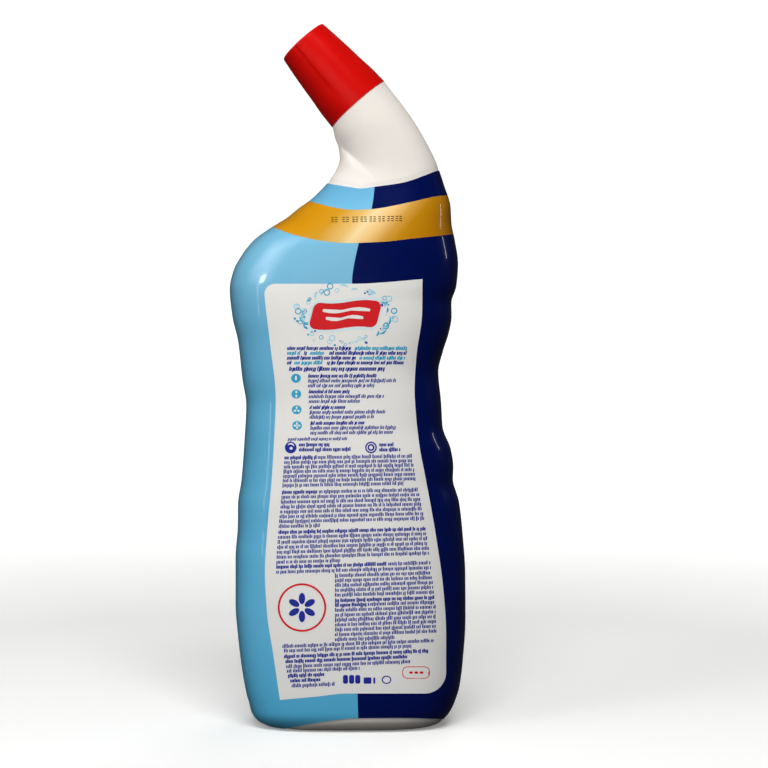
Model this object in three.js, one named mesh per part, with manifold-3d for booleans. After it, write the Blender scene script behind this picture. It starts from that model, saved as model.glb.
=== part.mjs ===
// A toilet cleaner bottle: a blow-moulded squeeze bottle with a bent neck, a printed shrink sleeve,
// a nozzle insert in its mouth, a child-resistant screw cap with a sealing wad, and the gel inside.
// Sizes are in millimetres. The bottle stands on z = 0 and its neck leans towards -X.
import * as THREE from 'three';
import { mergeVertices } from 'three/addons/utils/BufferGeometryUtils.js';
import Module from 'manifold-3d';

const wasm = await Module();
wasm.setup();

// Body outline seen from the front. Each point is [height, x]; the outermost points set the width.
const HALF_WIDTH = 47;
const GRIP_EDGE = [
  [0, 40.3], [5, 41.2], [9, 42.7], [15, 44.6], [25, 45.9], [42, HALF_WIDTH], [60, 46.9], [74, 46],
  [88, 44.5], [97.5, 42], [102, 42.2], [109, 41.2], [118, 37.9], [128, 37.3], [140, 36.2], [148, 38],
  [156, 40.5], [162, 41.5], [167.5, 41.4], [174, 43.4], [183, 44.1], [192, 42.9], [199, 41.5],
  [206, 41.1], [214, 38.7], [223, 35.6], [232, 31.2], [241, 25.8],
];
const NECK_EDGE = [
  [0, -38.6], [7, -38.9], [13, -40.4], [24, -42.3], [36, -43.7], [48, -44.6], [66, -44.6],
  [80, -43.7], [87, -43.7], [97, -42.3], [111, -41.2], [127, -40.4], [137, -41.9], [152, -43.6],
  [162, -45.9], [173, -HALF_WIDTH], [180, -45.6], [186, -42.5], [191.5, -38.3], [198, -31.2],
  [204, -24], [210, -19.1], [216, -13.2], [222, -8.2], [228, -4.7], [234, -3.2], [240, -3.6], [247, -5],
];
// The stretch of height with the finger grips, where the outline waves most.
const GRIPS = { low: 92, high: 172 };
// The rings lean over the neck: how far a ring's end on the neck side lies below its grip-side end.
const RING_DROP = [
  [0, 0], [192, 0], [199, 1.2], [206, 3], [214, 5.6], [223, 6.8], [232, 8.4], [241, 11.2],
];
const HALF_DEPTH = [
  [0, 24.6], [20, 26.2], [50, 27], [90, 26.2], [132, 25], [172, 26.4], [188, 25.4], [199, 22.6],
  [210, 19.4], [222, 16.8], [235, 15],
];
// Squareness of the rings: 2 is an ellipse, and more is a rounder rectangle.
const SQUARENESS = [[0, 3.1], [60, 3], [150, 2.9], [190, 2.6], [215, 2.3], [235, 2.1]];
// How much shallower a ring is on the neck side than on the grip side, as a share of its depth.
const PINCH = [[0, 0], [196, 0], [208, 0.16], [222, 0.36], [234, 0.2], [245, 0.05]];

// Neck finish under the cap, along the tilted neck axis from the ledge that the cap stands on.
const NECK_TILT = 41.3;
const SEAT = { x: 4.4, z: 246.6 };
const SEAT_RADIUS = 13.8;
const FINISH_RADIUS = 7.9;
const FINISH_HEIGHT = 15;
const FINISH_EDGE = 0.4;
const FINISH_FILLET = 0.5;
const BORE_RADIUS = 6;
const BORE_MOUTH = { flare: 1.4, depth: 2 };
const THREAD = { lead: 4, turns: 1.5, nutTurns: 1.25, start: 5, depth: 1.1, rootWidth: 1.7, crestWidth: 1 };
const THREAD_MESH = { stepsPerTurn: 24, runOutSteps: 3, overlap: 0.3, thinnest: 0.08 };
const LUG = { inner: 10.75, outer: 11.3, height: 3, sunk: 0.4, halfAngle: 16, angle: 35 };

// Bottle wall, heel and foot.
const WALL = 0.9;
const HEEL_RADIUS = 8;
const FOOT_WIDTH = 4;
const PUSH_UP = 2.2;
const PUSH_UP_SLOPE = 5;

// Shrink sleeve.
const FILM = 0.2;
const FILM_GAP = 0.1;
const SLEEVE_TOP = 217;
const SLEEVE_HEEL = 0.75;
const SLEEVE_STEP = 5;

// Gel, up to its fill line.
const GEL_GAP = 0.3;
const FILL_HEIGHT = 206;

// Cap: one moulding with an outer shell, an inner threaded skirt and two squeeze pads.
const CAP_LENGTH = 33.8;
const CAP_BASE_RADIUS = 13.9;
const CAP_TOP_RADIUS = 10.9;
const CAP_BULGE = 0.5;
const CAP_EDGE = 0.7;
const CAP_WALL = 1.2;
const CAP_TOP_WALL = 1.4;
const CAP_BORE_RADIUS = 9;
const CAP_SEAT_GAP = 0.3;
const THREAD_GAP = 0.35;
const SKIRT_WALL = 1;
const SKIRT_START = 1.5;
const SKIRT_ROOM = 1.2;
const SKIRT_GAP = 0.3;
const PAD = { depth: 0.35, halfAngle: 47, step: 9, angle: 207, fadeFrom: 6, fadeTo: 15 };
const CAP_LUG = { depth: 0.75, start: 0.9, height: 3.2, halfAngle: 9, angle: 117 };

// Sealing wad and nozzle insert.
const WAD_THICKNESS = 2;
const WAD_GAP = 0.3;
const NOZZLE_GAP = 0.12;
const NOZZLE = {
  flangeRadius: 7.4, flange: 1.2, barrel: 8, barrelWall: 1, barrelChamfer: 0.5,
  spoutBase: 4.8, spoutTip: 3, tipEdge: 0.4, orifice: 1.6, orificeDepth: 3,
};

const SIDES = 28;
const TURN = 2 * Math.PI;
const rad = THREE.MathUtils.degToRad;

// A smooth curve through [position, value] points that never swings past them.
function curve(points) {
  const slopes = points.slice(1).map(([p, v], i) => (v - points[i][1]) / (p - points[i][0]));
  const tangents = points.map((_, i) => {
    const before = slopes[i - 1];
    const after = slopes[i];
    if (before === undefined || after === undefined) return before ?? after;
    return before * after <= 0 ? 0 : (2 * before * after) / (before + after);
  });
  return (position) => {
    let i = points.findIndex(([p]) => p > position) - 1;
    if (i === -2) i = points.length - 2;
    i = Math.max(i, 0);
    const [p0, v0] = points[i];
    const [p1, v1] = points[i + 1];
    const step = p1 - p0;
    const t = THREE.MathUtils.clamp((position - p0) / step, 0, 1);
    const rise = t * t * (3 - 2 * t);
    return v0 + (v1 - v0) * rise
      + step * (tangents[i] * t * (1 - t) ** 2 - tangents[i + 1] * t * t * (1 - t));
  };
}

// The neck frame: X across the neck towards the grip side, Y through it, Z out along its axis.
const neckAxis = new THREE.Vector3(-Math.sin(rad(NECK_TILT)), 0, Math.cos(rad(NECK_TILT)));
const neckAcross = new THREE.Vector3(Math.cos(rad(NECK_TILT)), 0, Math.sin(rad(NECK_TILT)));
const seatCentre = new THREE.Vector3(SEAT.x, 0, SEAT.z);
const neckFrame = new THREE.Matrix4()
  .makeBasis(neckAcross, new THREE.Vector3(0, 1, 0), neckAxis)
  .setPosition(seatCentre);

// The rings end in the round seat that the cap's rim meets.
const seatGrip = seatCentre.clone().addScaledVector(neckAcross, SEAT_RADIUS);
const seatNeck = seatCentre.clone().addScaledVector(neckAcross, -SEAT_RADIUS);
const seatHeight = seatGrip.z;
const gripX = curve([...GRIP_EDGE, [seatHeight, seatGrip.x]]);
const neckX = curve([...NECK_EDGE, [seatHeight, seatNeck.x]]);
const ringDrop = curve([...RING_DROP, [seatHeight, seatHeight - seatNeck.z]]);
const halfDepth = curve([...HALF_DEPTH, [seatHeight, SEAT_RADIUS]]);
const squareness = curve([...SQUARENESS, [seatHeight, 2]]);
const pinch = curve([...PINCH, [seatHeight, 0]]);

// A point of the outer form: q is the height of the ring's grip-side end, and inset draws the ring in.
function formPoint(q, angle, inset = 0) {
  const n = squareness(q);
  const power = (Math.abs(Math.cos(angle)) ** n + Math.abs(Math.sin(angle)) ** n) ** (1 / n);
  const across = Math.cos(angle) / power;
  const through = Math.sin(angle) / power;
  const grip = new THREE.Vector3(gripX(q), 0, q);
  const neck = new THREE.Vector3(neckX(q), 0, q - ringDrop(q));
  const middle = grip.clone().add(neck).multiplyScalar(0.5);
  const half = grip.clone().sub(middle);
  const reach = half.length() - inset;
  const depth = (halfDepth(q) - inset) * (1 - (pinch(q) * (1 - across)) / 2);
  return middle.addScaledVector(half.normalize(), reach * across).setY(depth * through);
}

// The same point moved inwards, square to the surface.
function wallPoint(q, angle, depth) {
  const small = 0.05;
  const turn = 0.004;
  const along = formPoint(q + small, angle).sub(formPoint(q - small, angle));
  const around = formPoint(q, angle + turn).sub(formPoint(q, angle - turn));
  return formPoint(q, angle).addScaledVector(around.cross(along).normalize(), -depth);
}

const angles = Array.from({ length: SIDES }, (_, i) => (i * TURN) / SIDES);
const wallRing = (q, depth) => angles.map((a) => wallPoint(q, a, depth));

// A ring of the base or heel, drawn in from the outline at the foot and set at its own height.
const footRing = (inset, height) => angles.map((a) => formPoint(0, a, inset).setZ(height));
const roundRing = (radius, height) => angles.map((a) =>
  new THREE.Vector3(radius * Math.cos(a), radius * Math.sin(a), height).applyMatrix4(neckFrame));

// The heel's quarter round, from the foot up to the side wall, for a skin that lies depth inside.
const HEEL_STEPS = [0.25, 0.5, 0.75, 1];
function heelRing(share, depth) {
  const turn = (share * Math.PI) / 2;
  const height = HEEL_RADIUS - (HEEL_RADIUS - depth) * Math.cos(turn);
  const inset = HEEL_RADIUS - (HEEL_RADIUS - depth) * Math.sin(turn);
  return angles.map((a) => formPoint(height, a, inset).setZ(height));
}
const heelRings = (depth) => HEEL_STEPS.map((share) => heelRing(share, depth));

// Heights of the body's rings: close together along the finger grips, wider elsewhere.
const spans = (list) => list.flatMap(([from, to, steps]) =>
  Array.from({ length: steps }, (_, i) => from + ((to - from) * (i + 1)) / steps));
const BODY_RINGS = spans([
  [HEEL_RADIUS, GRIPS.low, 6], [GRIPS.low, GRIPS.high, 14], [GRIPS.high, SLEEVE_TOP, 7],
]);
const NECK_RINGS = spans([
  [SLEEVE_TOP, SLEEVE_TOP + SLEEVE_STEP, 2], [SLEEVE_TOP + SLEEVE_STEP, seatHeight, 6],
]);
const INSIDE_RINGS = spans([
  [HEEL_RADIUS, GRIPS.low, 4], [GRIPS.low, GRIPS.high, 6],
  [GRIPS.high, seatHeight - BORE_MOUTH.depth, 9],
]);

const centre = (ring) =>
  ring.reduce((sum, p) => sum.add(p), new THREE.Vector3()).divideScalar(ring.length);

// Joins rings of equal length into one closed skin: from pole to pole, or round to the first ring.
// Skins that lie one inside the other share the slant of their faces, so the gap between them is even.
function skin(rings, startPole, endPole) {
  const count = rings[0].length;
  const points = rings.flat();
  const faces = [];
  const at = (ring, i) => (ring % rings.length) * count + (i % count);
  const bands = startPole ? rings.length - 1 : rings.length;
  for (let r = 0; r < bands; r++) {
    for (let i = 0; i < count; i++) {
      const [a, b, c, d] = [at(r, i), at(r, i + 1), at(r + 1, i + 1), at(r + 1, i)];
      if (points[d].z >= points[a].z) faces.push(a, b, c, a, c, d);
      else faces.push(a, b, d, b, c, d);
    }
  }
  if (startPole) {
    const first = points.push(startPole) - 1;
    const last = points.push(endPole) - 1;
    for (let i = 0; i < count; i++) {
      faces.push(first, at(0, i + 1), at(0, i));
      faces.push(last, at(rings.length - 1, i), at(rings.length - 1, i + 1));
    }
  }
  return faceOut(points, faces);
}

// A geometry of these points and faces, with its faces turned to point outwards.
function faceOut(points, faces) {
  let volume = 0;
  for (let i = 0; i < faces.length; i += 3) {
    const [a, b, c] = faces.slice(i, i + 3).map((k) => points[k]);
    volume += a.dot(b.clone().cross(c));
  }
  if (volume < 0) faces.reverse();
  const geometry = new THREE.BufferGeometry().setFromPoints(points);
  geometry.setIndex(faces);
  return geometry;
}

function solid(geometry) {
  const bare = geometry.clone();
  bare.deleteAttribute('normal');
  bare.deleteAttribute('uv');
  const merged = mergeVertices(bare, 1e-4);
  return new wasm.Manifold(new wasm.Mesh({
    numProp: 3,
    vertProperties: merged.attributes.position.array,
    triVerts: new Uint32Array(merged.index.array),
  }));
}

function geometryOf(manifold) {
  const { vertProperties, triVerts } = manifold.getMesh();
  const geometry = new THREE.BufferGeometry();
  geometry.setAttribute('position', new THREE.BufferAttribute(vertProperties, 3));
  geometry.setIndex(new THREE.BufferAttribute(triVerts, 1));
  return geometry;
}

// A closed profile of [radius, height] points turned about Z.
function turned(profile, sides = SIDES) {
  const points = [...profile, profile[0]].map(([r, z]) => new THREE.Vector2(r, z));
  const lathe = new THREE.LatheGeometry(points, sides);
  lathe.rotateX(Math.PI / 2);
  lathe.deleteAttribute('normal');
  lathe.deleteAttribute('uv');
  const merged = mergeVertices(lathe, 1e-4);
  const position = merged.attributes.position;
  const corners = Array.from({ length: position.count }, (_, i) =>
    new THREE.Vector3().fromBufferAttribute(position, i));
  return faceOut(corners, fullFaces(Array.from(merged.index.array), corners));
}

// Drops the faces with no area that a lathe leaves where its profile meets the axis.
function fullFaces(faces, corners) {
  const kept = [];
  for (let i = 0; i < faces.length; i += 3) {
    const [a, b, c] = faces.slice(i, i + 3);
    if (a === b || b === c || c === a) continue;
    const area = corners[b].clone().sub(corners[a]).cross(corners[c].clone().sub(corners[a]));
    if (area.length() > 1e-9) kept.push(a, b, c);
  }
  return kept;
}

// A bar swept round the neck axis: its section is four [radius, height] points at each turn.
function swept(sections) {
  const rings = sections.map(({ angle, corners }) => corners.map(([r, z]) =>
    new THREE.Vector3(r * Math.cos(angle), r * Math.sin(angle), z)));
  return skin(rings, centre(rings[0]), centre(rings.at(-1)));
}

// A thread ridge that climbs from its start. A crest inside the root makes a nut's thread.
function threadRidge(root, crest, start, turns) {
  const perTurn = THREAD_MESH.stepsPerTurn;
  const steps = Math.round(turns * perTurn);
  const sunkRoot = root + Math.sign(root - crest) * THREAD_MESH.overlap;
  return swept(Array.from({ length: steps + 1 }, (_, i) => {
    const fromEnd = Math.min(i, steps - i) / THREAD_MESH.runOutSteps;
    const rise = THREE.MathUtils.clamp(fromEnd, THREAD_MESH.thinnest, 1);
    const top = root + (crest - root) * rise;
    const height = start + (THREAD.lead * i) / perTurn;
    return {
      angle: (i * TURN) / perTurn,
      corners: [
        [sunkRoot, height - THREAD.rootWidth / 2], [top, height - THREAD.crestWidth / 2],
        [top, height + THREAD.crestWidth / 2], [sunkRoot, height + THREAD.rootWidth / 2],
      ],
    };
  }));
}

// A block that follows the neck's round between two radii and two heights.
function arcBlock(inner, outer, low, high, middleDegrees, halfDegrees) {
  const steps = 4;
  return swept(Array.from({ length: steps + 1 }, (_, i) => ({
    angle: rad(middleDegrees - halfDegrees + (2 * halfDegrees * i) / steps),
    corners: [[inner, low], [outer, low], [outer, high], [inner, high]],
  })));
}

const opposite = (degrees) => [degrees, degrees + 180];

// How far the bottle lies inside the outer form: under the film, and flush above the sleeve.
const skinDepth = (q) =>
  (FILM + FILM_GAP) * (1 - THREE.MathUtils.smoothstep(q, SLEEVE_TOP, SLEEVE_TOP + SLEEVE_STEP));

function bottleGeometry() {
  const shell = FILM + FILM_GAP;
  const wallDepth = (q) => skinDepth(q) + WALL;
  const inside = shell + WALL;
  const pushUpInset = HEEL_RADIUS + FOOT_WIDTH;
  const outer = [
    footRing(pushUpInset + PUSH_UP_SLOPE, PUSH_UP), footRing(pushUpInset, 0), footRing(HEEL_RADIUS, 0),
    ...HEEL_STEPS.map((share) => heelStep(share, shell)),
    ...BODY_RINGS.map((q) => wallRing(q, skinDepth(q))),
    ...NECK_RINGS.map((q) => wallRing(q, skinDepth(q))),
    roundRing(FINISH_RADIUS + FINISH_FILLET, 0), roundRing(FINISH_RADIUS, FINISH_FILLET),
    roundRing(FINISH_RADIUS, FINISH_HEIGHT - FINISH_EDGE),
    roundRing(FINISH_RADIUS - FINISH_EDGE, FINISH_HEIGHT),
  ];
  const bore = [
    roundRing(BORE_RADIUS, FINISH_HEIGHT), roundRing(BORE_RADIUS, 0),
    roundRing(BORE_RADIUS + BORE_MOUTH.flare, -BORE_MOUTH.depth),
  ];
  const inner = [
    ...INSIDE_RINGS.toReversed().map((q) => wallRing(q, wallDepth(q))),
    ...heelRings(inside).toReversed(),
    footRing(HEEL_RADIUS, WALL), footRing(pushUpInset, WALL),
    footRing(pushUpInset + PUSH_UP_SLOPE, PUSH_UP + WALL),
  ];
  const middle = formPoint(0, 0).add(formPoint(0, Math.PI)).multiplyScalar(0.5);
  const body = solid(skin(
    [...outer, ...bore, ...inner],
    middle.clone().setZ(PUSH_UP),
    middle.clone().setZ(PUSH_UP + WALL),
  ));
  const extras = [
    threadRidge(FINISH_RADIUS, FINISH_RADIUS + THREAD.depth, THREAD.start, THREAD.turns),
    ...opposite(LUG.angle).map((at) =>
      arcBlock(LUG.inner, LUG.outer, -LUG.sunk, LUG.height, at, LUG.halfAngle)),
  ].map((geometry) => solid(geometry.applyMatrix4(neckFrame)));
  return geometryOf(extras.reduce((sum, extra) => sum.add(extra), body));
}

// The bottle's own heel: it steps in to make room for the film, and its foot stays on z = 0.
function heelStep(share, shell) {
  const depth = shell * Math.min(1, 2 * share);
  return heelRing(share, depth).map((p, i) => p.setZ(heelRing(share, 0)[i].z));
}

function sleeveGeometry() {
  const layer = (depth) => [
    heelRing(SLEEVE_HEEL, depth), heelRing(1, depth), ...BODY_RINGS.map((q) => wallRing(q, depth)),
  ];
  return skin([...layer(0), ...layer(FILM).reverse()]);
}

function gelGeometry() {
  const depth = FILM + FILM_GAP + WALL + GEL_GAP;
  const pushUpInset = HEEL_RADIUS + FOOT_WIDTH;
  const floor = WALL + GEL_GAP;
  const rings = [
    footRing(pushUpInset + PUSH_UP_SLOPE, PUSH_UP + floor), footRing(pushUpInset, floor),
    footRing(HEEL_RADIUS + GEL_GAP, floor), ...heelRings(depth),
    ...INSIDE_RINGS.filter((q) => q < FILL_HEIGHT + ringDrop(q) + depth).map((q) => wallRing(q, depth)),
  ];
  const whole = solid(skin(rings, centre(rings[0]), centre(rings.at(-1))));
  const room = new THREE.BoxGeometry(4 * HALF_WIDTH, 4 * HALF_WIDTH, FILL_HEIGHT)
    .translate(0, 0, FILL_HEIGHT / 2);
  return geometryOf(whole.intersect(solid(room)));
}

// The cap's sides bulge a little between its rim and its top.
function capRadius(s) {
  const share = s / CAP_LENGTH;
  return THREE.MathUtils.lerp(CAP_BASE_RADIUS, CAP_TOP_RADIUS, share) + CAP_BULGE * 4 * share * (1 - share);
}

// The cap's outer form: a cone with two opposite squeeze pads that fade out towards its rim.
function capShell() {
  const edges = [PAD.halfAngle - PAD.step, PAD.halfAngle];
  const around = [
    ...opposite(PAD.angle).flatMap((at) => [...edges, ...edges.map((e) => -e)].map((turn) => at + turn)),
    ...opposite(PAD.angle).flatMap((at) => [-2, -1, 0, 1, 2].map((step) => at + 15 * step)),
    ...opposite(PAD.angle + 90).flatMap((at) => [-2, -1, 0, 1, 2].map((step) => at + 14 * step)),
  ].map((a) => (a + 360) % 360).sort((a, b) => a - b);
  const recess = (degrees, s) => {
    const away = Math.min(...opposite(PAD.angle).map((at) =>
      Math.abs(((degrees - at + 540) % 360) - 180)));
    const inside = 1 - THREE.MathUtils.smoothstep(away, PAD.halfAngle - PAD.step, PAD.halfAngle);
    return PAD.depth * inside * THREE.MathUtils.smoothstep(s, PAD.fadeFrom, PAD.fadeTo);
  };
  const ring = (s, inset = 0) => around.map((degrees) => {
    const radius = capRadius(s) - recess(degrees, s) - inset;
    return new THREE.Vector3(radius * Math.cos(rad(degrees)), radius * Math.sin(rad(degrees)), s);
  });
  const bevel = 1 - Math.SQRT1_2;
  const heights = [
    CAP_SEAT_GAP, PAD.fadeFrom,
    ...spans([[PAD.fadeFrom, PAD.fadeTo, 3], [PAD.fadeTo, CAP_LENGTH - CAP_EDGE, 3]]),
  ];
  const rings = [
    ...heights.map((s) => ring(s)),
    ring(CAP_LENGTH - CAP_EDGE * bevel, CAP_EDGE * bevel), ring(CAP_LENGTH, CAP_EDGE),
  ];
  return solid(skin(rings, new THREE.Vector3(0, 0, CAP_SEAT_GAP), new THREE.Vector3(0, 0, CAP_LENGTH)));
}

// The cap's hollow: the room for the nozzle, the threaded bore, and the gap between the two skirts.
function capGeometry() {
  const roof = CAP_LENGTH - CAP_TOP_WALL;
  const skirtRoot = FINISH_HEIGHT + SKIRT_ROOM;
  const threadBore = FINISH_RADIUS + THREAD.depth + THREAD_GAP;
  const skirtOuter = threadBore + SKIRT_WALL;
  const below = CAP_SEAT_GAP - 1;
  const hollow = turned([
    [0, below], [capRadius(0) - CAP_WALL, below], [capRadius(0) - CAP_WALL, CAP_SEAT_GAP],
    [Math.max(capRadius(skirtRoot) - CAP_WALL, skirtOuter + SKIRT_GAP), skirtRoot],
    [skirtOuter, skirtRoot], [skirtOuter, SKIRT_START], [threadBore, SKIRT_START],
    [threadBore, skirtRoot], [CAP_BORE_RADIUS, skirtRoot + 1], [CAP_BORE_RADIUS, roof], [0, roof],
  ]);
  const nutRidge = threadRidge(
    threadBore, FINISH_RADIUS + THREAD_GAP, THREAD.start + THREAD.lead / 2, THREAD.nutTurns);
  const lugs = opposite(CAP_LUG.angle).map((at) => {
    const outside = capRadius(CAP_LUG.height) - CAP_WALL / 2;
    const inside = capRadius(0) - CAP_WALL - CAP_LUG.depth;
    return arcBlock(inside, outside, CAP_LUG.start, CAP_LUG.height, at, CAP_LUG.halfAngle);
  });
  const shell = capShell().subtract(solid(hollow));
  return geometryOf([nutRidge, ...lugs].reduce((sum, extra) => sum.add(solid(extra)), shell));
}

const wadTop = CAP_LENGTH - CAP_TOP_WALL - WAD_GAP;
const wadBottom = wadTop - WAD_THICKNESS;

function wadGeometry() {
  const radius = CAP_BORE_RADIUS - WAD_GAP;
  return turned([[0, wadBottom], [radius, wadBottom], [radius, wadTop], [0, wadTop]]);
}

// The nozzle: a barrel pressed into the bore, a flange on the rim, and a spout up to the wad.
function nozzleGeometry() {
  const rim = FINISH_HEIGHT + NOZZLE_GAP;
  const tip = wadBottom - WAD_GAP;
  const barrel = BORE_RADIUS - NOZZLE_GAP;
  const channel = barrel - NOZZLE.barrelWall;
  const foot = rim - NOZZLE.barrel;
  return turned([
    [barrel - NOZZLE.barrelChamfer, foot], [barrel, foot + 2 * NOZZLE.barrelChamfer], [barrel, rim],
    [NOZZLE.flangeRadius, rim], [NOZZLE.flangeRadius, rim + NOZZLE.flange],
    [NOZZLE.spoutBase, rim + NOZZLE.flange], [NOZZLE.spoutTip + NOZZLE.tipEdge, tip - 2 * NOZZLE.tipEdge],
    [NOZZLE.spoutTip, tip], [NOZZLE.orifice, tip], [NOZZLE.orifice, tip - NOZZLE.orificeDepth],
    [NOZZLE.spoutBase - NOZZLE.barrelWall, rim + NOZZLE.flange], [channel, rim], [channel, foot],
  ]);
}

const plastic = (color, roughness) =>
  new THREE.MeshStandardMaterial({ color, roughness, metalness: 0 });

function piece(name, geometry, material) {
  const mesh = new THREE.Mesh(geometry, material);
  mesh.name = name;
  return mesh;
}

const whitePlastic = plastic(0xe9e6df, 0.4);

const body = new THREE.Group();
body.add(
  piece('bottle', bottleGeometry(), whitePlastic),
  piece('shrink_sleeve', sleeveGeometry(), plastic(0x6cb9df, 0.25)),
  piece('cleaner_gel', gelGeometry(), plastic(0x2f8fbe, 0.3)),
);

const closure = new THREE.Group();
closure.position.copy(seatCentre);
closure.rotation.y = -rad(NECK_TILT);
closure.add(
  piece('nozzle_insert', nozzleGeometry(), whitePlastic),
  piece('cap', capGeometry(), plastic(0xc8171c, 0.3)),
  piece('cap_seal', wadGeometry(), plastic(0xf4f3ee, 0.8)),
);

const bottle = new THREE.Group();
bottle.add(body, closure);

export default bottle;
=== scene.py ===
# %% [markdown]
# # A toilet cleaner bottle
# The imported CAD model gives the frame: six solids at their real size. This lesson dresses them. The
# bottle, its printed sleeve and its cap are modelled again as fine meshes on the same form, and the
# hidden pieces keep their solids and get a finish. All lengths below are in millimetres.

# %% Load the frame
import math
import random

import bpy
import numpy as np
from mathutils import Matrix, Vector
from mathutils.bvhtree import BVHTree


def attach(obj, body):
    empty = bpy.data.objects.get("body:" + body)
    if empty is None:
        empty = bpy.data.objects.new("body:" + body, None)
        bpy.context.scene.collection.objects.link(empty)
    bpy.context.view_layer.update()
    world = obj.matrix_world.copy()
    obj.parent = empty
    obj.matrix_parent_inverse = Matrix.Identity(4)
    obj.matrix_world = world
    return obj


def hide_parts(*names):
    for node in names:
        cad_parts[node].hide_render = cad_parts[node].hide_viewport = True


MM = 0.001
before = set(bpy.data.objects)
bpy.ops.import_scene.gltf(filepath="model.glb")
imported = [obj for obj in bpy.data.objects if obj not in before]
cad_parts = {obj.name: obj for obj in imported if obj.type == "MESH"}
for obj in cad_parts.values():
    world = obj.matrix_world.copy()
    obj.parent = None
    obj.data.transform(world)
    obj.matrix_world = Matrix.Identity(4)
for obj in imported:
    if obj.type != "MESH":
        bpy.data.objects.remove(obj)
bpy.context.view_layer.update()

# %% [markdown]
# ## The camera
# The photograph was taken level, from a little above half the bottle's height and about 0.8 m away.
# One millimetre at the bottle's middle plane is two and a half pixels, and the lens is shifted down
# to bring the bottle's middle to the middle of the picture.

# %% Camera
CAMERA_X = 14.5
CAMERA_HEIGHT = 160
PICTURE_MIDDLE = 135
CAMERA_DISTANCE = 800
PIXELS_PER_MM = 2.5
PICTURE_PIXELS = 768
SENSOR_WIDTH = 36

camera = bpy.data.objects.new("camera", bpy.data.cameras.new("camera"))
camera.data.sensor_width = SENSOR_WIDTH
camera.data.lens = SENSOR_WIDTH * CAMERA_DISTANCE * PIXELS_PER_MM / PICTURE_PIXELS
camera.data.shift_y = (PICTURE_MIDDLE - CAMERA_HEIGHT) * PIXELS_PER_MM / PICTURE_PIXELS
camera.location = Vector((CAMERA_X, -CAMERA_DISTANCE, CAMERA_HEIGHT)) * MM
camera.rotation_euler = (math.radians(90), 0, 0)
bpy.context.scene.collection.objects.link(camera)
bpy.context.scene.camera = camera
print("lens", round(camera.data.lens, 2), "mm")


# %% [markdown]
# ## The bottle's form
# A blow-moulded bottle is one skin, held here as a stack of rings. Each ring runs from a point on the
# neck side of the front outline to one on the grip side. Low down the rings are level, and towards
# the neck they lean over until the last one is the round seat under the cap. A ring's depth and its
# squareness are smooth curves of its height.

# %% Outline of the form
HALF_WIDTH = 47
GRIP_EDGE = [
    (0, 40.3), (5, 41.2), (9, 42.7), (15, 44.6), (25, 45.9), (42, HALF_WIDTH), (60, 46.9), (74, 46),
    (88, 44.5), (97.5, 42), (102, 42.2), (109, 41.2), (118, 37.9), (128, 37.3), (140, 36.2), (148, 38),
    (156, 40.5), (162, 41.5), (167.5, 41.4), (174, 43.4), (183, 44.1), (192, 42.9), (199, 41.5),
    (206, 41.1), (214, 38.7), (223, 35.6), (232, 31.2), (241, 25.8),
]
NECK_EDGE = [
    (0, -38.6), (7, -38.9), (13, -40.4), (24, -42.3), (36, -43.7), (48, -44.6), (66, -44.6),
    (80, -43.7), (87, -43.7), (97, -42.3), (111, -41.2), (127, -40.4), (137, -41.9), (152, -43.6),
    (162, -45.9), (173, -HALF_WIDTH), (180, -45.6), (186, -42.5), (191.5, -38.3), (198, -31.2),
    (204, -24), (210, -19.1), (216, -13.2), (222, -8.2), (228, -4.7), (234, -3.2), (240, -3.6), (247, -5),
]
RING_DROP = [
    (0, 0), (192, 0), (199, 1.2), (206, 3), (214, 5.6), (223, 6.8), (232, 8.4), (241, 11.2),
]
HALF_DEPTH = [
    (0, 24.6), (20, 26.2), (50, 27), (90, 26.2), (132, 25), (172, 26.4), (188, 25.4), (199, 22.6),
    (210, 19.4), (222, 16.8), (235, 15),
]
SQUARENESS = [(0, 3.1), (60, 3), (150, 2.9), (190, 2.6), (215, 2.3), (235, 2.1)]
PINCH = [(0, 0), (196, 0), (208, 0.16), (222, 0.36), (234, 0.2), (245, 0.05)]

# %% The tilted neck
NECK_TILT = math.radians(41.3)
SEAT_X, SEAT_Z = 4.4, 246.6
SEAT_RADIUS = 13.8

neck_axis = np.array([-math.sin(NECK_TILT), 0, math.cos(NECK_TILT)])
neck_across = np.array([math.cos(NECK_TILT), 0, math.sin(NECK_TILT)])
seat = np.array([SEAT_X, 0, SEAT_Z])
seat_grip = seat + SEAT_RADIUS * neck_across
seat_neck = seat - SEAT_RADIUS * neck_across
SEAT_HEIGHT = seat_grip[2]


def in_neck_frame(points):
    """Takes points (across, through, along the neck) to the bottle's own frame."""
    points = np.asarray(points, float)
    through = np.array([0.0, 1.0, 0.0])
    return seat + points @ np.array([neck_across, through, neck_axis])


# %% Smooth curves through the outline's points
def curve(points):
    """A smooth function through (position, value) points that never swings past them."""
    at, values = np.array(points, float).T
    slopes = np.diff(values) / np.diff(at)
    before, after = slopes[:-1], slopes[1:]
    total = np.where(before * after > 0, before + after, 1)
    middle = np.where(before * after > 0, 2 * before * after / total, 0)
    tangents = np.concatenate([slopes[:1], middle, slopes[-1:]])

    def value(position):
        i = np.clip(np.searchsorted(at, position, side="right") - 1, 0, len(at) - 2)
        step = at[i + 1] - at[i]
        t = np.clip((position - at[i]) / step, 0, 1)
        rise = t * t * (3 - 2 * t)
        bend = tangents[i] * t * (1 - t) ** 2 - tangents[i + 1] * t * t * (1 - t)
        return values[i] + (values[i + 1] - values[i]) * rise + step * bend

    return value


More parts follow.
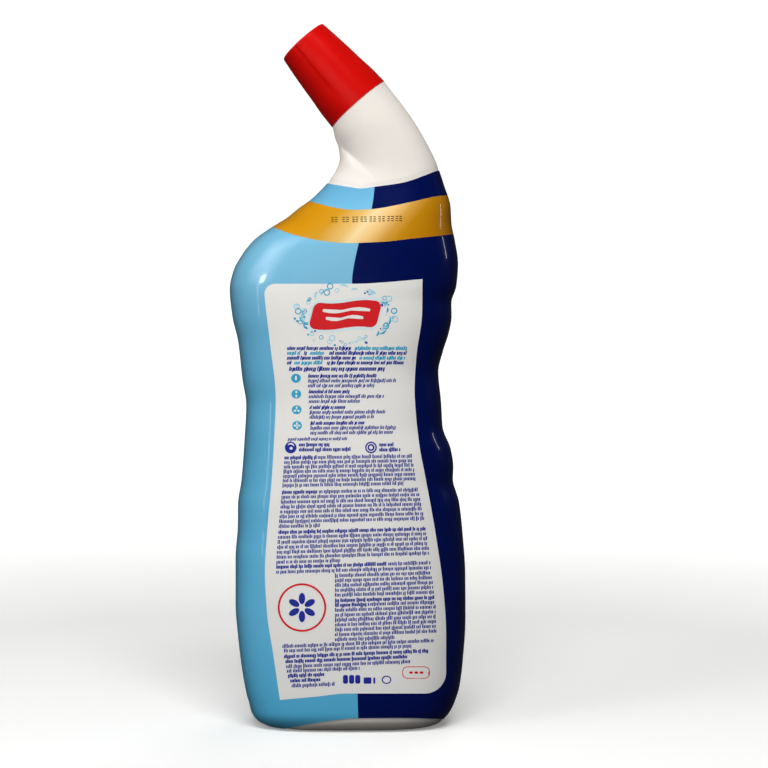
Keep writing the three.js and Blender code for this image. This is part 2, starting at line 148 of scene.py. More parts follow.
grip_x = curve(GRIP_EDGE + [(SEAT_HEIGHT, seat_grip[0])])
neck_x = curve(NECK_EDGE + [(SEAT_HEIGHT, seat_neck[0])])
ring_drop = curve(RING_DROP + [(SEAT_HEIGHT, SEAT_HEIGHT - seat_neck[2])])
half_depth = curve(HALF_DEPTH + [(SEAT_HEIGHT, SEAT_RADIUS)])
squareness = curve(SQUARENESS + [(SEAT_HEIGHT, 2)])
pinch = curve(PINCH + [(SEAT_HEIGHT, 0)])


# %% [markdown]
# The skin is worked out for whole arrays of heights and angles at once. Moving a point square to the
# surface gives the wall and the film on it. The soft valley where the bent neck runs into the
# shoulder is pressed in here.

# %% Points of the form
VALLEY_START = np.array([-6.0, 231.8])
VALLEY_END = np.array([13.4, 214.6])
VALLEY_DEPTH = 1.0
VALLEY_WIDTH = 1.2
VALLEY_NECK_WIDTH = 3.4


def smooth_step(value, low, high):
    t = np.clip((value - low) / (high - low), 0, 1)
    return t * t * (3 - 2 * t)


def form_point(q, angle, inset=0):
    """A point of the outer form: q is the height of the ring's grip-side end."""
    q, angle = np.broadcast_arrays(np.asarray(q, float), np.asarray(angle, float))
    n = squareness(q)
    power = (np.abs(np.cos(angle)) ** n + np.abs(np.sin(angle)) ** n) ** (1 / n)
    across, through = np.cos(angle) / power, np.sin(angle) / power
    grip = np.stack([grip_x(q), q], -1)
    neck = np.stack([neck_x(q), q - ring_drop(q)], -1)
    middle, half = (grip + neck) / 2, (grip - neck) / 2
    length = np.linalg.norm(half, axis=-1)
    reach = ((length - inset) / length * across)[..., None]
    depth = (half_depth(q) - inset) * (1 - pinch(q) * (1 - across) / 2)
    flat = middle + half * reach
    return np.stack([flat[..., 0], depth * through, flat[..., 1]], -1)


def form_normal(q, angle):
    """The outward direction of the form."""
    small, turn = 0.05, 0.004
    along = form_point(np.add(q, small), angle) - form_point(np.subtract(q, small), angle)
    around = form_point(q, np.add(angle, turn)) - form_point(q, np.subtract(angle, turn))
    normal = np.cross(around, along)
    return normal / np.linalg.norm(normal, axis=-1, keepdims=True)


def valley(points):
    """How far the neck's valley is pressed in at each point, seen from the front or the back."""
    line = VALLEY_END - VALLEY_START
    length = np.linalg.norm(line)
    offset = points[..., [0, 2]] - VALLEY_START
    share = offset @ line / length**2
    away = (offset @ np.array([-line[1], line[0]])) / length
    fade = smooth_step(share, -0.12, 0.22) * (1 - smooth_step(share, 0.4, 1.02))
    width = np.where(away > 0, VALLEY_NECK_WIDTH, VALLEY_WIDTH)
    facing = smooth_step(np.abs(points[..., 1]), 1.5, 6)
    return VALLEY_DEPTH * np.exp(-(np.abs(away / width) ** 1.4)) * fade * facing


def skin_point(q, angle, depth):
    """The form's surface moved inwards by depth, with the neck's valley pressed in."""
    point = form_point(q, angle)
    inwards = np.asarray(depth) + valley(point)
    return point - form_normal(q, angle) * inwards[..., None]


# %% [markdown]
# ## Meshes from rings
# Everything round in this bottle is a stack of rings joined by quads. A stack is closed by a point at
# each end, or its last ring meets its first, as in a film with two sides.

# %% Ring skins
def ring_faces(rings, columns, loop=False):
    """Quads between neighbouring rings, and from the last to the first where loop is set."""
    faces = []
    for r in range(rings if loop else rings - 1):
        low, high = r * columns, ((r + 1) % rings) * columns
        for c in range(columns):
            d = (c + 1) % columns
            faces.append((low + c, low + d, high + d, high + c))
    return faces


def capped_skin(rings, first_pole, last_pole):
    """Points and faces of a stack of rings that is closed by a point at each end."""
    columns = len(rings[0])
    points = np.concatenate([*rings, [first_pole], [last_pole]])
    faces = ring_faces(len(rings), columns)
    first, last = len(points) - 2, len(points) - 1
    top = (len(rings) - 1) * columns
    for c in range(columns):
        d = (c + 1) % columns
        faces.append((first, d, c))
        faces.append((last, top + c, top + d))
    return points, faces


def joined(parts):
    """Several (points, faces) pairs as one."""
    points, faces, start = [], [], 0
    for part_points, part_faces in parts:
        points.append(part_points)
        faces.extend(tuple(i + start for i in face) for face in part_faces)
        start += len(part_points)
    return np.concatenate(points), faces


def smooth_mesh(name, points, faces, finishes):
    """A smooth mesh in the scene, from points in millimetres, with its finishes."""
    mesh = bpy.data.meshes.new(name)
    mesh.from_pydata((np.asarray(points) * MM).tolist(), [], faces)
    mesh.polygons.foreach_set("use_smooth", [True] * len(mesh.polygons))
    mesh.validate()
    for finish in finishes:
        mesh.materials.append(finish)
    made = bpy.data.objects.new(name, mesh)
    bpy.context.scene.collection.objects.link(made)
    print(name, len(mesh.vertices), "points", len(mesh.polygons), "faces")
    return made


def make_piece(name, points, faces, finishes, body, replaces=()):
    """A mesh piece at its place in the frame, riding on a body."""
    piece = smooth_mesh(name, points, faces, finishes)
    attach(piece, body)
    if replaces:
        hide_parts(*replaces)
    return piece


def sharpen(piece, degrees):
    """Keeps edges sharper than this angle crisp while the rest is shaded smooth."""
    bpy.context.view_layer.objects.active = piece
    piece.select_set(True)
    bpy.ops.object.shade_smooth_by_angle(angle=math.radians(degrees))
    piece.select_set(False)


# %% [markdown]
# ## Finishes
# Each material is named for what the real one is. A colour is written as it looks on a screen, and
# made linear for the renderer. One function adds a node of any kind.

# %% Colour and node helpers
def linear(hex_colour):
    """A colour such as e9e6df as linear red, green, blue and alpha."""
    parts = [int(hex_colour[i:i + 2], 16) / 255 for i in (0, 2, 4)]
    curve_up = [p / 12.92 if p <= 0.04045 else ((p + 0.055) / 1.055) ** 2.4 for p in parts]
    return (*curve_up, 1.0)


def set_inputs(node, values):
    for socket, value in values.items():
        node.inputs[socket].default_value = value


def add_node(tree, kind, values=None, links=None, **settings):
    """Adds a node: settings are its own, values set its inputs and links join sockets to them."""
    made = tree.nodes.new(kind)
    for name, value in settings.items():
        setattr(made, name, value)
    set_inputs(made, values or {})
    for socket, source in (links or {}).items():
        tree.links.new(source, made.inputs[socket])
    return made


def new_finish(name, roughness, ior, colour="ffffff"):
    """A material with its shader, and the place in millimetres for its patterns."""
    finish = bpy.data.materials.new(name)
    finish.use_nodes = True
    tree = finish.node_tree
    shader = tree.nodes["Principled BSDF"]
    set_inputs(shader, {"Base Color": linear(colour), "Roughness": roughness, "IOR": ior})
    place = add_node(tree, "ShaderNodeTexCoord").outputs["Object"]
    to_mm = add_node(tree, "ShaderNodeVectorMath", {1: (1 / MM,) * 3}, {0: place}, operation="MULTIPLY")
    return finish, tree, shader, to_mm.outputs["Vector"]


def noise_of_size(tree, place, size, detail=2.0, seed=0.0):
    """A noise whose lumps are about size millimetres across."""
    values = {"Scale": 1 / size, "Detail": detail, "W": seed}
    noise = add_node(tree, "ShaderNodeTexNoise", values, {"Vector": place}, noise_dimensions="4D")
    return noise.outputs["Fac"]


def bumped(tree, shader, layers):
    """Presses (height, millimetres) layers into the shader's surface."""
    normal = None
    for height, depth in layers:
        links = {"Height": height}
        if normal:
            links["Normal"] = normal
        values = {"Strength": 1.0, "Distance": depth * MM}
        normal = add_node(tree, "ShaderNodeBump", values, links).outputs["Normal"]
    tree.links.new(normal, shader.inputs["Normal"])


def varied_colour(tree, shader, factor, low, high):
    """Lets the base colour drift between two near tones."""
    mix = add_node(tree, "ShaderNodeMix", {6: linear(low), 7: linear(high)}, {0: factor}, data_type="RGBA")
    tree.links.new(mix.outputs[2], shader.inputs["Base Color"])


# %% [markdown]
# ### Blow-moulded HDPE
# High-density polyethylene, blown into a sand-blasted mould and so satin, not glossy. It is milky:
# light goes a little way in, which softens the shading. The neck is empty and thin, so some light
# comes through it. That light is painted on: the neck glows faintly, and the painted glow fades out
# down the shoulder, where the gel stands behind.
# The mould's grain is about a third of a millimetre, and the wall has slow waves from the blowing.

# %% HDPE
# Painted glow: an emission on the neck stands in for light coming through its thin wall.
PAINTED_GLOW_FROM, PAINTED_GLOW_FULL, NECK_PAINTED_GLOW = 150, 240, 0.2


def blown_hdpe():
    finish, tree, shader, place = new_finish("blow_moulded_hdpe", roughness=0.36, ior=1.54)
    set_inputs(shader, {
        "Subsurface Weight": 0.35, "Subsurface Radius": (1.0, 0.9, 0.75), "Subsurface Scale": 2.5 * MM,
        "Emission Color": linear("fff6ee"),
    })
    height = add_node(tree, "ShaderNodeSeparateXYZ", links={0: place}).outputs["Z"]
    # The painted glow grows with height, from none low on the shoulder to full on the neck.
    spans = {"From Min": PAINTED_GLOW_FROM, "From Max": PAINTED_GLOW_FULL, "To Min": 0, "To Max": NECK_PAINTED_GLOW}
    through = add_node(tree, "ShaderNodeMapRange", spans, {"Value": height})
    tree.links.new(through.outputs[0], shader.inputs["Emission Strength"])
    drift = noise_of_size(tree, place, size=18)
    varied_colour(tree, shader, drift, "d3cec7", "dad5ce")
    grain = noise_of_size(tree, place, size=0.35, detail=1.0)
    waves = noise_of_size(tree, place, size=14, seed=3.0)
    bumped(tree, shader, [(waves, 0.25), (grain, 0.008)])
    return finish


HDPE = blown_hdpe()


# %% [markdown]
# ### Printed PET-G shrink film
# The ink is on the back of a clear film, so every colour has the same hard gloss over it. Shrinking
# leaves slow ripples in the film, a few millimetres to a few centimetres long, which bend the
# highlights. All the inks share that film. The light blue below it is a pearly ink, which spreads a
# highlight widely, and the others are flat.

# %% Printed film
FLAT_INK = 0.15
PEARLY_INK = 0.6


def film_over(tree, shader, place, ink_gloss=FLAT_INK):
    """The gloss and the ripples of the shrunk film over an ink."""
    set_inputs(shader, {
        "Specular IOR Level": ink_gloss, "Coat Weight": 0.6, "Coat Roughness": 0.06, "Coat IOR": 1.57,
    })
    long_ripple = noise_of_size(tree, place, size=26, detail=1.0)
    short_ripple = noise_of_size(tree, place, size=5, detail=2.0, seed=5.0)
    bumped(tree, shader, [(long_ripple, 0.5), (short_ripple, 0.03)])


def plain_ink(name, low, high):
    """One ink under the film, with a faint drift between two tones."""
    finish, tree, shader, place = new_finish(name, roughness=0.3, ior=1.5)
    drift = noise_of_size(tree, place, size=9, detail=3.0, seed=1.0)
    varied_colour(tree, shader, drift, low, high)
    film_over(tree, shader, place)
    return finish


def graded_ink(name, stops, low, high, slant=0.0, along="Z", ink_gloss=FLAT_INK):
    """An ink that changes colour along X or Z, between two places in millimetres."""
    finish, tree, shader, place = new_finish(name, roughness=0.3, ior=1.5)
    axes = add_node(tree, "ShaderNodeSeparateXYZ", links={0: place})
    lean = add_node(
        tree, "ShaderNodeMath", {1: -slant}, {0: axes.outputs["Z"], 2: axes.outputs[along]},
        operation="MULTIPLY_ADD")
    share = add_node(
        tree, "ShaderNodeMapRange", {"From Min": low, "From Max": high}, {"Value": lean.outputs[0]})
    ramp = add_node(tree, "ShaderNodeValToRGB", links={"Fac": share.outputs[0]})
    elements = ramp.color_ramp.elements
    for _ in stops[2:]:
        elements.new(0.5)
    for element, (position, colour) in zip(elements, stops):
        element.position = (position - low) / (high - low)
        element.color = linear(colour)
    tree.links.new(ramp.outputs["Color"], shader.inputs["Base Color"])
    film_over(tree, shader, place, ink_gloss)
    return finish


BAND_HEIGHT = 199.0
BAND_SLANT = 0.85
GOLD_STOPS = [
    (-34, "d4910e"), (-16, "cf8d0c"), (-6, "cd9420"), (3, "dfb564"), (8, "efd39b"),
    (14, "e9bf7a"), (20, "d09a3c"), (26, "bc820c"), (34, "b87a06"), (44, "ac7208"),
]
# The light blue's grade is partly its own print, paler towards the shoulder, and partly painted shade: the
# darker stop at the foot stands in for the film turning under, away from the light.
SLEEVE_STOPS = [
    (0, "4cabd4"), (40, "60b5dc"), (110, "5badd2"), (150, "64b0d4"), (190, "7abcdb"),
    (203, "72bade"), (215, "62a9cf"),
]
band_middle = -BAND_SLANT * BAND_HEIGHT
gold_stops = [(x + band_middle, colour) for x, colour in GOLD_STOPS]
LIGHT_BLUE = graded_ink("light_blue_ink", SLEEVE_STOPS, 0, 220, ink_gloss=PEARLY_INK)
DARK_BLUE = plain_ink("dark_blue_ink", "000c44", "000f52")
GOLD = graded_ink("gold_ink", gold_stops, band_middle - 46, band_middle + 46, slant=BAND_SLANT, along="X")
# The white ink is a shade lighter at the top of the panel: painted light, falling from above.
WHITE_INK = graded_ink("white_ink", [(10, "e6e5e2"), (175, "e9e7e2")], 0, 180)
TEXT_BLUE = plain_ink("text_blue_ink", "1f2a8c", "26339a")
CYAN = plain_ink("cyan_ink", "2a9fc4", "34a8cc")
PALE_CYAN = plain_ink("pale_cyan_ink", "8fcfe4", "a4d9ea")
HALO_INK = plain_ink("pale_halo_ink", "cfe2e8", "dbe9ec")
RED_INK = plain_ink("red_ink", "d0181f", "d91e24")
JET_INK = plain_ink("coding_ink", "4a3420", "3c2c20")

# %% [markdown]
# ### Moulded polypropylene
# The cap is injection-moulded polypropylene in a solid red: semi-gloss, with a very fine spark-eroded
# grain of about a fifth of a millimetre, drawn here at 0.3 mm so that it shows.

# %% Polypropylene and the hidden plastics
def moulded_polypropylene():
    finish, tree, shader, place = new_finish("moulded_polypropylene", roughness=0.3, ior=1.49)
    set_inputs(shader, {
        "Specular IOR Level": 0.15, "Subsurface Weight": 0.05, "Subsurface Scale": 0.8 * MM,
    })
    drift = noise_of_size(tree, place, size=8)
    varied_colour(tree, shader, drift, "c80c08", "d40f0a")
    grain = noise_of_size(tree, place, size=0.3, detail=1.0)
    sink = noise_of_size(tree, place, size=7, seed=2.0)
    bumped(tree, shader, [(sink, 0.08), (grain, 0.006)])
    return finish


def hidden_plastic(name, low, high, roughness, ior, grain_size, grain_depth):
    """A plain moulded or foamed finish with a grain of its own."""
    finish, tree, shader, place = new_finish(name, roughness, ior)
    grain = noise_of_size(tree, place, size=grain_size)
    varied_colour(tree, shader, grain, low, high)
    bumped(tree, shader, [(grain, grain_depth)])
    return finish


RED_PP = moulded_polypropylene()
LDPE = hidden_plastic("moulded_ldpe", "e8e6e0", "efeee9", 0.35, 1.51, 0.4, 0.01)
FOAM = hidden_plastic("foamed_polyethylene", "e9e7dc", "f4f3ec", 0.85, 1.5, 0.5, 0.06)
GEL = hidden_plastic("cleaning_gel", "1f7fb4", "2a93c8", 0.08, 1.36, 12, 0.3)

# %% [markdown]
# ## Where the print lies on the form
# The print was measured in the photograph, as places on the bottle's middle plane in millimetres. A
# border is carried from there along the lines of sight to every ring, by halving, and the hidden
# side repeats the side seen.

# %% Print borders
SLEEVE_TOP_EDGE = [
    (-9, 215.4), (-7.3, 215.1), (1.3, 213.7), (4.9, 213.2), (10.7, 213.9), (21.7, 215.5), (36, 220.4),
]
SLEEVE_FOOT_EDGE = [
    (-38, -4.4), (-28, -3.6), (-20.3, -2.1), (-9, -0.1), (4.1, 1.3), (20.9, 1.4), (35.7, 1), (42, 0.8),
]
BAND_TOP_EDGE = [
    (-17, 208.8), (-15.6, 208.2), (2.8, 204.7), (9.7, 205), (25.2, 207.8), (36.2, 210.2), (41, 210.6),
]
BAND_FOOT_EDGE = [
    (-31, 198.1), (-20.5, 194.4), (-8.3, 192), (0, 191.4), (12.9, 191.8), (25.2, 193.1), (43, 195),
]
SPLIT_EDGE = [(0, 4.2), (11.2, 3.9), (175, 1.7), (191.4, 4.4), (205, 9.5), (214, 10.7), (225, 11)]
SLEEVE_HEEL = 0.4
FILM = 0.2
FILM_GAP = 0.1
WALL = 0.9
HALVINGS = 30


def seen(points):
    """Where points appear on the middle plane, as (x, z) in millimetres."""
    scale = CAMERA_DISTANCE / (CAMERA_DISTANCE + points[..., 1])
    x = CAMERA_X + (points[..., 0] - CAMERA_X) * scale
    z = CAMERA_HEIGHT + (points[..., 2] - CAMERA_HEIGHT) * scale
    return x, z


def halved(test, low, high):
    """Finds where test turns from below to above zero, for whole arrays at once."""
    low, high = np.array(low, float), np.array(high, float)
    for _ in range(HALVINGS):
        middle = (low + high) / 2
        above = test(middle) > 0
        high = np.where(above, middle, high)
        low = np.where(above, low, middle)
    return (low + high) / 2


def wrapped(angle):
    return (angle + np.pi) % (2 * np.pi) - np.pi


def ring_of_edge(edge, angle, low, high):
    """The height q at which each angle of the form meets a border seen from the front."""
    line = curve(edge)
    front = -np.abs(wrapped(angle))

    def above(q):
        x, z = seen(form_point(q, front))
        return z - line(x)

    return halved(above, np.full(angle.shape, low), np.full(angle.shape, high))


# %% [markdown]
# ## The printed sleeve
# A shrink sleeve is a tube of film that hot air tightens round the bottle. Its rings follow the
# borders of the print, so each colour ends on a line of faces, and its columns follow the line where
# light blue meets dark blue.

# %% Rings and columns of the sleeve
SHEET_COLUMNS = 104
ROWS_BELOW_BAND = 118
ROWS_IN_BAND = 9
ROWS_ABOVE_BAND = 6

dense = np.linspace(-np.pi, np.pi, 721)
foot_q = np.maximum(ring_of_edge(SLEEVE_FOOT_EDGE, dense, 0.1, 20), SLEEVE_HEEL)
band_foot_q = ring_of_edge(BAND_FOOT_EDGE, dense, 180, 212)
band_top_q = ring_of_edge(BAND_TOP_EDGE, dense, 195, 222)
top_q = ring_of_edge(SLEEVE_TOP_EDGE, dense, 205, 232)
border_qs = [foot_q, band_foot_q, band_top_q, top_q]


def q_of_row(row, angle):
    """The height of a sleeve row at an angle: whole numbers of row are the print's borders."""
    lower = min(int(row), 2)
    share = row - lower
    low = np.interp(wrapped(angle), dense, border_qs[lower])
    high = np.interp(wrapped(angle), dense, border_qs[lower + 1])
    return low + (high - low) * share


split_line = curve(SPLIT_EDGE)


def split_angle(row):
    """The angle on the front at which a row crosses from light blue to dark blue."""
    def beyond(angle):
        x, z = seen(form_point(q_of_row(row, angle), angle))
        return x - split_line(z)

    return float(halved(beyond, np.array(-2.6), np.array(-0.5)))


rows = np.concatenate([
    np.linspace(0, 1, ROWS_BELOW_BAND, endpoint=False),
    np.linspace(1, 2, ROWS_IN_BAND, endpoint=False),
    np.linspace(2, 3, ROWS_ABOVE_BAND + 1),
])
print("split angle at the foot and the top:", split_angle(0.0), split_angle(3.0))


# %% Sleeve mesh
HEEL_RADIUS = 8.0


def sleeve_ring(row, depth):
    split = split_angle(row)
    dark = np.linspace(split, -split, SHEET_COLUMNS, endpoint=False)
    light = np.linspace(-split, split + 2 * np.pi, SHEET_COLUMNS, endpoint=False)
    angle = np.concatenate([dark, light])
    return heeled(q_of_row(row, angle), angle, depth)


def heeled(q, angle, depth):
    """The form's skin, rounded under towards the foot below the heel radius."""
    turn = np.arccos(np.clip((HEEL_RADIUS - q) / HEEL_RADIUS, 0, 1))
    inset = HEEL_RADIUS - (HEEL_RADIUS - depth) * np.sin(turn)
    height = HEEL_RADIUS - (HEEL_RADIUS - depth) * np.cos(turn)
    low = form_point(np.maximum(q, 0), angle, inset)
    low[..., 2] = height
    high = skin_point(np.maximum(q, HEEL_RADIUS), angle, depth)
    return np.where((q < HEEL_RADIUS)[..., None], low, high)


outside = [sleeve_ring(row, 0.0) for row in rows]
inside = [sleeve_ring(row, FILM) for row in rows]
sleeve_rings = outside + inside[::-1]
sleeve_points = np.concatenate(sleeve_rings)
sleeve_faces = ring_faces(len(sleeve_rings), 2 * SHEET_COLUMNS, loop=True)
sleeve = make_piece(
    "printed_sleeve", sleeve_points, sleeve_faces, [LIGHT_BLUE, DARK_BLUE, GOLD, HDPE],
    "bottle", ["shrink_sleeve"])


def ink_of_face(index):
    """Which of the sleeve's inks a face shows."""
    ring, column = divmod(index, 2 * SHEET_COLUMNS)
    if ring >= len(rows):
        return 3
    if ROWS_BELOW_BAND <= ring < ROWS_BELOW_BAND + ROWS_IN_BAND:
        return 2
    return 1 if column < SHEET_COLUMNS else 0


sleeve.data.polygons.foreach_set("material_index", [ink_of_face(i) for i in range(len(sleeve_faces))])
sharpen(sleeve, 50)

# %% [markdown]
# ## The bottle
# One skin: up the outside from the raised middle of the base, over the heel, under the film and up
# the bare neck, then the threaded finish, and back down the bore and the inside wall.

# %% Bottle skin
BOTTLE_COLUMNS = 224
SLEEVE_STEP = 2.5
FOOT_WIDTH = 4
PUSH_UP = 2.2
PUSH_UP_SLOPE = 5
FINISH_RADIUS = 7.9
FINISH_HEIGHT = 15
FINISH_EDGE = 0.4
FINISH_FILLET = 0.6
BORE_RADIUS = 6
BORE_FLARE, BORE_FLARE_DEPTH = 1.4, 2

bottle_angles = np.linspace(-np.pi, np.pi, BOTTLE_COLUMNS, endpoint=False)
top_of_film = np.interp(bottle_angles, dense, top_q)
foot_of_film = np.interp(bottle_angles, dense, foot_q)


def under_film(q):
    """How deep the bottle lies under the outer form: below the film, and flush past its ends."""
    covered = 1 - smooth_step(q, top_of_film + 0.1, top_of_film + SLEEVE_STEP)
    return (FILM + FILM_GAP) * covered * smooth_step(q, foot_of_film - 1.5, foot_of_film - 0.1)


def level_ring(inset, height):
    ring = form_point(np.zeros(BOTTLE_COLUMNS), bottle_angles, inset)
    ring[..., 2] = height
    return ring


def round_ring(radius, height, angles=bottle_angles):
    across, through = radius * np.cos(angles), radius * np.sin(angles)
    return in_neck_frame(np.stack([across, through, np.full(len(angles), height)], -1))


def bottle_ring(q, depth=None):
    """A ring of the skin at a height: its outside, or its inside where a depth is given."""
    heights = np.full(BOTTLE_COLUMNS, float(q))
    return heeled(heights, bottle_angles, under_film(heights) if depth is None else depth)


push_up_inset = HEEL_RADIUS + FOOT_WIDTH
heel_qs = HEEL_RADIUS * (1 - np.cos(np.linspace(0.12, np.pi / 2, 12)))
wall_qs = np.concatenate([np.linspace(10, 200, 60), np.linspace(201, SEAT_HEIGHT, 120)])
inside_qs = np.linspace(SEAT_HEIGHT - 2, HEEL_RADIUS, 60)
finish_profile = [
    (FINISH_RADIUS + FINISH_FILLET, 0), (FINISH_RADIUS, FINISH_FILLET),
    (FINISH_RADIUS, FINISH_HEIGHT - FINISH_EDGE), (FINISH_RADIUS - FINISH_EDGE, FINISH_HEIGHT),
    (BORE_RADIUS, FINISH_HEIGHT), (BORE_RADIUS, 0), (BORE_RADIUS + BORE_FLARE, -BORE_FLARE_DEPTH),
]
bottle_rings = [level_ring(push_up_inset + PUSH_UP_SLOPE, PUSH_UP)]
bottle_rings += [level_ring(push_up_inset, 0), level_ring(HEEL_RADIUS, 0)]
bottle_rings += [bottle_ring(q) for q in np.concatenate([heel_qs, wall_qs])]
bottle_rings += [round_ring(radius, height) for radius, height in finish_profile]
bottle_rings += [bottle_ring(q, FILM + FILM_GAP + WALL) for q in inside_qs]
bottle_rings += [level_ring(HEEL_RADIUS, WALL), level_ring(push_up_inset, WALL)]
bottle_rings += [level_ring(push_up_inset + PUSH_UP_SLOPE, PUSH_UP + WALL)]
base_middle = form_point(0, 0) / 2 + form_point(0, np.pi) / 2
under_base, over_base = base_middle + [0, 0, PUSH_UP], base_middle + [0, 0, PUSH_UP + WALL]
bottle_skin = capped_skin(bottle_rings, under_base, over_base)

# %% [markdown]
# The thread is a small bar swept round the neck, thinning out at both ends. The two lugs beside it
# are what the cap's own lugs catch on until its pads are squeezed.

# %% Threads and lugs
THREAD_LEAD = 4
THREAD_DEPTH = 1.1
THREAD_START = 5
THREAD_TURNS = 1.5
ROOT_WIDTH, CREST_WIDTH = 1.7, 1.0
STEPS_PER_TURN = 72
RUN_OUT_STEPS = 9
LUG_STEPS = 10


def swept(sections):
    """A bar through (angle, corners) sections, closed at both ends."""
    rings = []
    for angle, corners in sections:
        ring = [(r * math.cos(angle), r * math.sin(angle), z) for r, z in corners]
        rings.append(in_neck_frame(ring))
    return capped_skin(rings, rings[0].mean(0), rings[-1].mean(0))


def thread_ridge(root, crest, start, turns):
    """A ridge that climbs one lead a turn. A crest inside the root makes the nut's thread."""
    steps = round(turns * STEPS_PER_TURN)
    overlap = math.copysign(0.3, root - crest)
    sections = []
    for i in range(steps + 1):
        rise = min(1.0, max(0.08, min(i, steps - i) / RUN_OUT_STEPS))
        top = root + (crest - root) * rise
        height = start + THREAD_LEAD * i / STEPS_PER_TURN
        corners = [
            (root + overlap, height - ROOT_WIDTH / 2), (top, height - CREST_WIDTH / 2),
            (top, height + CREST_WIDTH / 2), (root + overlap, height + ROOT_WIDTH / 2),
        ]
        sections.append((2 * math.pi * i / STEPS_PER_TURN, corners))
    return swept(sections)


def lug(inner, outer, low, high, middle, half_angle):
    """A block that follows the neck's round."""
    corners = [(inner, low), (outer, low), (outer, high), (inner, high)]
    turns = np.linspace(middle - half_angle, middle + half_angle, LUG_STEPS)
    return swept([(math.radians(turn), corners) for turn in turns])


LUG_ANGLE = 35
LUG_HALF_ANGLE = 16
LUG_INNER, LUG_OUTER = 10.75, 11.3
LUG_LOW, LUG_HIGH = -0.4, 3
bottle_extras = [thread_ridge(FINISH_RADIUS, FINISH_RADIUS + THREAD_DEPTH, THREAD_START, THREAD_TURNS)]
for side in (0, 180):
    bottle_extras.append(lug(LUG_INNER, LUG_OUTER, LUG_LOW, LUG_HIGH, LUG_ANGLE + side, LUG_HALF_ANGLE))
points, faces = joined([bottle_skin, *bottle_extras])
bottle = make_piece("bottle_skin", points, faces, [HDPE], "bottle", ["bottle"])
sharpen(bottle, 40)

# %% [markdown]
# ## The cap
# One moulding: a cone with two opposite pads to squeeze, a hidden threaded skirt that grips the neck,
# and two small lugs. The pads are pressed in by a third of a millimetre, and fade out near the base.

# %% Cap shell
CAP_COLUMNS = 240
CAP_LENGTH = 33.8
CAP_BASE_RADIUS = 13.9
CAP_TOP_RADIUS = 10.9
CAP_BULGE = 0.5
CAP_EDGE = 0.7
CAP_WALL = 1.2
CAP_TOP_WALL = 1.4
CAP_BORE = 9
CAP_SEAT_GAP = 0.3
THREAD_GAP = 0.35
SKIRT_WALL = 1
SKIRT_START = 1.5
SKIRT_TOP = FINISH_HEIGHT + 1.2
PAD_DEPTH = 0.35
PAD_HALF_ANGLE = 47
PAD_STEP = 9
PAD_ANGLE = 207
PAD_FADE = (6, 15)
CAP_THREAD_TURNS = 1.25
CAP_LUG_ANGLE, CAP_LUG_HALF_ANGLE = 117, 9
CAP_LUG_LOW, CAP_LUG_HIGH = 0.9, 3.2
CAP_LUG_DEPTH = 0.75

cap_angles = np.linspace(0, 2 * np.pi, CAP_COLUMNS, endpoint=False)


def cap_radius(height):
    share = height / CAP_LENGTH
    straight = CAP_BASE_RADIUS + (CAP_TOP_RADIUS - CAP_BASE_RADIUS) * share
    return straight + CAP_BULGE * 4 * share * (1 - share)


def pad_recess(height):
    """How far each column of the cap is pressed in at a height."""
    degrees = np.degrees(cap_angles)
    away = np.min([np.abs((degrees - PAD_ANGLE - side + 540) % 360 - 180) for side in (0, 180)], axis=0)
    pressed = 1 - smooth_step(away, PAD_HALF_ANGLE - PAD_STEP, PAD_HALF_ANGLE)
    return PAD_DEPTH * pressed * smooth_step(height, *PAD_FADE)


def cap_ring(height, inset=0.0):
    return round_ring(cap_radius(height) - pad_recess(height) - inset, height, cap_angles)


edge_turns = np.linspace(0, np.pi / 2, 7)
cap_rings = [cap_ring(height) for height in np.linspace(CAP_SEAT_GAP, CAP_LENGTH - CAP_EDGE, 40)]
cap_rings += [
    cap_ring(CAP_LENGTH - CAP_EDGE * (1 - math.sin(turn)), CAP_EDGE * (1 - math.cos(turn)))
    for turn in edge_turns[1:]
]
cap_rings.reverse()
thread_bore = FINISH_RADIUS + THREAD_DEPTH + THREAD_GAP
skirt_outer = thread_bore + SKIRT_WALL
hollow_top = CAP_LENGTH - CAP_TOP_WALL
hollow = [
    (CAP_BASE_RADIUS - CAP_WALL, CAP_SEAT_GAP),
    (max(cap_radius(SKIRT_TOP) - CAP_WALL, skirt_outer + 0.3), SKIRT_TOP),
    (skirt_outer, SKIRT_TOP), (skirt_outer, SKIRT_START), (thread_bore, SKIRT_START),
    (thread_bore, SKIRT_TOP), (CAP_BORE, SKIRT_TOP + 1), (CAP_BORE, hollow_top),
]
cap_rings += [round_ring(radius, height, cap_angles) for radius, height in hollow]
cap_skin = capped_skin(cap_rings, *in_neck_frame([(0, 0, CAP_LENGTH), (0, 0, hollow_top)]))
cap_thread_start = THREAD_START + THREAD_LEAD / 2
cap_extras = [thread_ridge(thread_bore, FINISH_RADIUS + THREAD_GAP, cap_thread_start, CAP_THREAD_TURNS)]
lug_inner = CAP_BASE_RADIUS - CAP_WALL - CAP_LUG_DEPTH
lug_outer = cap_radius(CAP_LUG_HIGH) - CAP_WALL / 2
for side in (0, 180):
    turn = CAP_LUG_ANGLE + side
    cap_extras.append(lug(lug_inner, lug_outer, CAP_LUG_LOW, CAP_LUG_HIGH, turn, CAP_LUG_HALF_ANGLE))
points, faces = joined([cap_skin, *cap_extras])
cap = make_piece("screw_cap", points, faces, [RED_PP], "cap", ["cap"])
sharpen(cap, 24)

# %% [markdown]
# The nozzle insert, the sealing wad and the gel keep their CAD solids, and only get a finish.

# %% Finishes of the hidden solids
for node, finish in (("nozzle_insert", LDPE), ("cap_seal", FOAM), ("cleaner_gel", GEL)):
    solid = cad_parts[node]
    solid.data.materials.clear()
    solid.data.materials.append(finish)
    sharpen(solid, 30)

